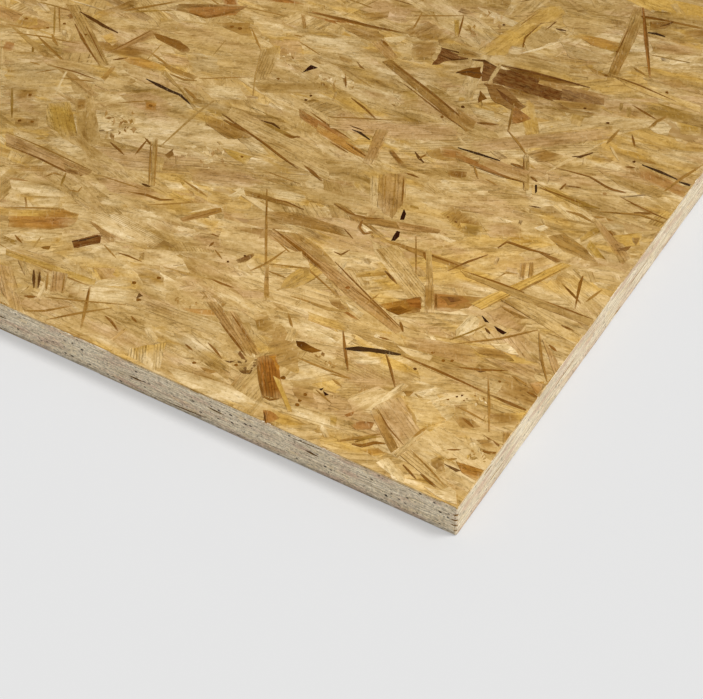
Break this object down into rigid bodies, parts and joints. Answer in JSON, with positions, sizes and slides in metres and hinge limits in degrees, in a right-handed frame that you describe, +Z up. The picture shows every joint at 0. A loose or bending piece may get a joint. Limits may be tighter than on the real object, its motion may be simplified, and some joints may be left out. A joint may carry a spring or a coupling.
{
  "type": "osb panel",
  "caption": "Full sheet of oriented strand board, square edged, lying flat. Sawn edges show gaps between strands.",
  "frame": {"origin": "middle of the underside, on the surface that the sheet lies on", "axes": "+X along the sheet, the way the face strands lie; +Y across it; +Z up through its thickness"},
  "size_m": [2.44, 1.22, 0.018],
  "materials": {
    "strand_board": "pressed wood strands, unsanded, sawn edges"
  },
  "bodies": {
    "root": {"osb_panel": "strand_board"}
  },
  "joints": []
}
